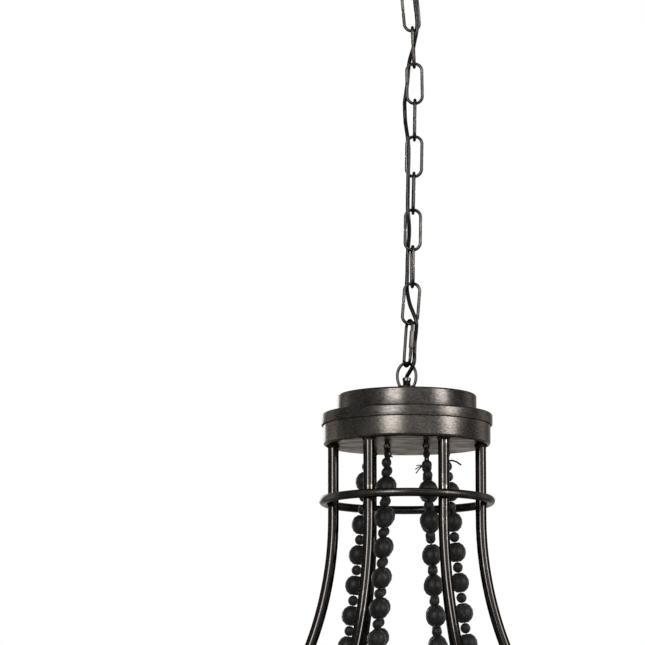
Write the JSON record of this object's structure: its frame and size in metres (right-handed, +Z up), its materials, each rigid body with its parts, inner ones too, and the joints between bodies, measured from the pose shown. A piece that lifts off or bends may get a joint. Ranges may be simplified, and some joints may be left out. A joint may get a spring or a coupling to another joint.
{
  "type": "chandelier",
  "caption": "Cage chandelier of bent iron tube arms with candle lamps and hanging strands of wooden beads, hung on a chain from a ceiling canopy.",
  "frame": {"origin": "centre of the ceiling bar's top face, where it meets the ceiling", "axes": "+Z up along the stem, +X to the right and -Y towards the viewer of the picture"},
  "size_m": [0.7418, 0.6506, 1.0726],
  "materials": {
    "dark_iron": "dark bronze-black, brushed, satin",
    "chain_iron": "dark bronze-black, rubbed to warm grey on the high spots",
    "plated_steel": "plain zinc plate",
    "cord_cover": "black, matt",
    "wood_beads": "charcoal stain, matt, open grain",
    "candle_sleeve": "dark, matt",
    "bulb_glass": "clear",
    "splice_cap": "moulded, matt"
  },
  "bodies": {
    "root": {"ceiling_crossbar": "plated_steel", "ceiling_nipple": "plated_steel", "crossbar_nut": "plated_steel", "canopy_loop": "chain_iron", "power_cord": "cord_cover"},
    "canopy": {"ceiling_canopy": "dark_iron"},
    "collar": {"collar_nut": "dark_iron"},
    "link_01": {"chain_link_01": "chain_iron"},
    "link_02": {"chain_link_02": "chain_iron"},
    "link_03": {"chain_link_03": "chain_iron"},
    "link_04": {"chain_link_04": "chain_iron"},
    "link_05": {"chain_link_05": "chain_iron"},
    "link_06": {"chain_link_06": "chain_iron"},
    "link_07": {"chain_link_07": "chain_iron"},
    "link_08": {"chain_link_08": "chain_iron"},
    "link_09": {"chain_link_09": "chain_iron"},
    "link_10": {"chain_link_10": "chain_iron"},
    "link_11": {"chain_link_11": "chain_iron"},
    "fixture": {"fixture_loop": "chain_iron", "cord_bushing": "plated_steel", "stem_tube": "plated_steel", "stem_nut": "plated_steel", "cap_upper_tier": "dark_iron", "cap_flange": "dark_iron", "cap_drum": "dark_iron", "cap_strap": "plated_steel", "wire_connector": "splice_cap", "upper_hoop": "dark_iron", "lower_hoop": "dark_iron", "arm_1": "dark_iron", "arm_2": "dark_iron", "arm_3": "dark_iron", "arm_4": "dark_iron", "arm_5": "dark_iron", "arm_6": "dark_iron", "candle_cup_1": "dark_iron", "candle_cup_2": "dark_iron", "candle_cup_3": "dark_iron", "candle_cup_4": "dark_iron", "candle_cup_5": "dark_iron", "candle_cup_6": "dark_iron", "candle_sleeve_1": "candle_sleeve", "candle_sleeve_2": "candle_sleeve", "candle_sleeve_3": "candle_sleeve", "candle_sleeve_4": "candle_sleeve", "candle_sleeve_5": "candle_sleeve", "candle_sleeve_6": "candle_sleeve"},
    "bulb_1": {"bulb_1": "bulb_glass"},
    "bulb_2": {"bulb_2": "bulb_glass"},
    "bulb_3": {"bulb_3": "bulb_glass"},
    "bulb_4": {"bulb_4": "bulb_glass"},
    "bulb_5": {"bulb_5": "bulb_glass"},
    "bulb_6": {"bulb_6": "bulb_glass"},
    "strand_1": {"bead_strand_1": "wood_beads"},
    "strand_2": {"bead_strand_2": "wood_beads"},
    "strand_3": {"bead_strand_3": "wood_beads"},
    "strand_4": {"bead_strand_4": "wood_beads"},
    "strand_5": {"bead_strand_5": "wood_beads"},
    "strand_6": {"bead_strand_6": "wood_beads"}
  },
  "joints": [
    {"name": "link_01_swing", "type": "hinge", "parent": "root", "child": "link_01", "pos_m": [0, 0, -0.06485], "axis": [1, 0, 0], "range_deg": [-30, 30], "deforming": ["power_cord"]},
    {"name": "link_02_swing", "type": "hinge", "parent": "link_01", "child": "link_02", "pos_m": [0.0037, 0, -0.10182], "axis": [0, 1, 0], "range_deg": [-30, 30], "deforming": ["power_cord"]},
    {"name": "link_03_swing", "type": "hinge", "parent": "link_02", "child": "link_03", "pos_m": [0.00703, 0, -0.13897], "axis": [-1, 0, 0], "range_deg": [-30, 30], "deforming": ["power_cord"]},
    {"name": "link_04_swing", "type": "hinge", "parent": "link_03", "child": "link_04", "pos_m": [0.00851, 0, -0.17624], "axis": [0, -1, 0], "range_deg": [-30, 30], "deforming": ["power_cord"]},
    {"name": "link_05_swing", "type": "hinge", "parent": "link_04", "child": "link_05", "pos_m": [0.00907, 0, -0.21353], "axis": [1, 0, 0], "range_deg": [-30, 30], "deforming": ["power_cord"]},
    {"name": "link_06_swing", "type": "hinge", "parent": "link_05", "child": "link_06", "pos_m": [0.00851, 0, -0.25083], "axis": [0, 1, 0], "range_deg": [-30, 30], "deforming": ["power_cord"]},
    {"name": "link_07_swing", "type": "hinge", "parent": "link_06", "child": "link_07", "pos_m": [0.00777, 0, -0.28812], "axis": [-1, 0, 0], "range_deg": [-30, 30], "deforming": ["power_cord"]},
    {"name": "link_08_swing", "type": "hinge", "parent": "link_07", "child": "link_08", "pos_m": [0.00684, 0, -0.32541], "axis": [0, -1, 0], "range_deg": [-30, 30], "deforming": ["power_cord"]},
    {"name": "link_09_swing", "type": "hinge", "parent": "link_08", "child": "link_09", "pos_m": [0.00629, 0, -0.36271], "axis": [1, 0, 0], "range_deg": [-30, 30], "deforming": ["power_cord"]},
    {"name": "link_10_swing", "type": "hinge", "parent": "link_09", "child": "link_10", "pos_m": [0.00592, 0, -0.4], "axis": [0, 1, 0], "range_deg": [-30, 30], "deforming": ["power_cord"]},
    {"name": "link_11_swing", "type": "hinge", "parent": "link_10", "child": "link_11", "pos_m": [0.00296, 0, -0.43719], "axis": [-1, 0, 0], "range_deg": [-30, 30], "deforming": ["power_cord"]},
    {"name": "fixture_swing", "type": "hinge", "parent": "link_11", "child": "fixture", "pos_m": [0, 0, -0.47978], "axis": [0.4067, -0.9135, 0], "range_deg": [-30, 30], "deforming": ["power_cord"]},
    {"name": "canopy_slide", "type": "slide", "parent": "root", "child": "canopy", "axis": [0, 0, -1], "range_m": [0, 0.033]},
    {"name": "collar_turn", "type": "hinge", "parent": "canopy", "child": "collar", "pos_m": [0, 0, -0.029], "axis": [0, 0, 1], "continuous": true},
    {"name": "bulb_1_turn", "type": "hinge", "parent": "fixture", "child": "bulb_1", "pos_m": [0.34518, 0, -0.96217], "axis": [0, 0, 1], "continuous": true},
    {"name": "bulb_2_turn", "type": "hinge", "parent": "fixture", "child": "bulb_2", "pos_m": [0.17259, 0.29893, -0.96217], "axis": [0, 0, 1], "continuous": true},
    {"name": "bulb_3_turn", "type": "hinge", "parent": "fixture", "child": "bulb_3", "pos_m": [-0.17259, 0.29893, -0.96217], "axis": [0, 0, 1], "continuous": true},
    {"name": "bulb_4_turn", "type": "hinge", "parent": "fixture", "child": "bulb_4", "pos_m": [-0.34518, 0, -0.96217], "axis": [0, 0, 1], "continuous": true},
    {"name": "bulb_5_turn", "type": "hinge", "parent": "fixture", "child": "bulb_5", "pos_m": [-0.17259, -0.29893, -0.96217], "axis": [0, 0, 1], "continuous": true},
    {"name": "bulb_6_turn", "type": "hinge", "parent": "fixture", "child": "bulb_6", "pos_m": [0.17259, -0.29893, -0.96217], "axis": [0, 0, 1], "continuous": true},
    {"name": "strand_1_swing", "type": "hinge", "parent": "fixture", "child": "strand_1", "pos_m": [0.03869, 0, -0.56729], "axis": [0.4278, 0, -0.9039], "range_deg": [-22, 22]},
    {"name": "strand_2_swing", "type": "hinge", "parent": "fixture", "child": "strand_2", "pos_m": [0.01935, 0.03351, -0.56729], "axis": [0.2139, 0.3705, -0.9039], "range_deg": [-22, 22]},
    {"name": "strand_3_swing", "type": "hinge", "parent": "fixture", "child": "strand_3", "pos_m": [-0.01935, 0.03351, -0.56729], "axis": [-0.2139, 0.3705, -0.9039], "range_deg": [-22, 22]},
    {"name": "strand_4_swing", "type": "hinge", "parent": "fixture", "child": "strand_4", "pos_m": [-0.03869, 0, -0.56729], "axis": [-0.4278, 0, -0.9039], "range_deg": [-22, 22]},
    {"name": "strand_5_swing", "type": "hinge", "parent": "fixture", "child": "strand_5", "pos_m": [-0.01935, -0.03351, -0.56729], "axis": [-0.2139, -0.3705, -0.9039], "range_deg": [-22, 22]},
    {"name": "strand_6_swing", "type": "hinge", "parent": "fixture", "child": "strand_6", "pos_m": [0.01935, -0.03351, -0.56729], "axis": [0.2139, -0.3705, -0.9039], "range_deg": [-22, 22]}
  ]
}
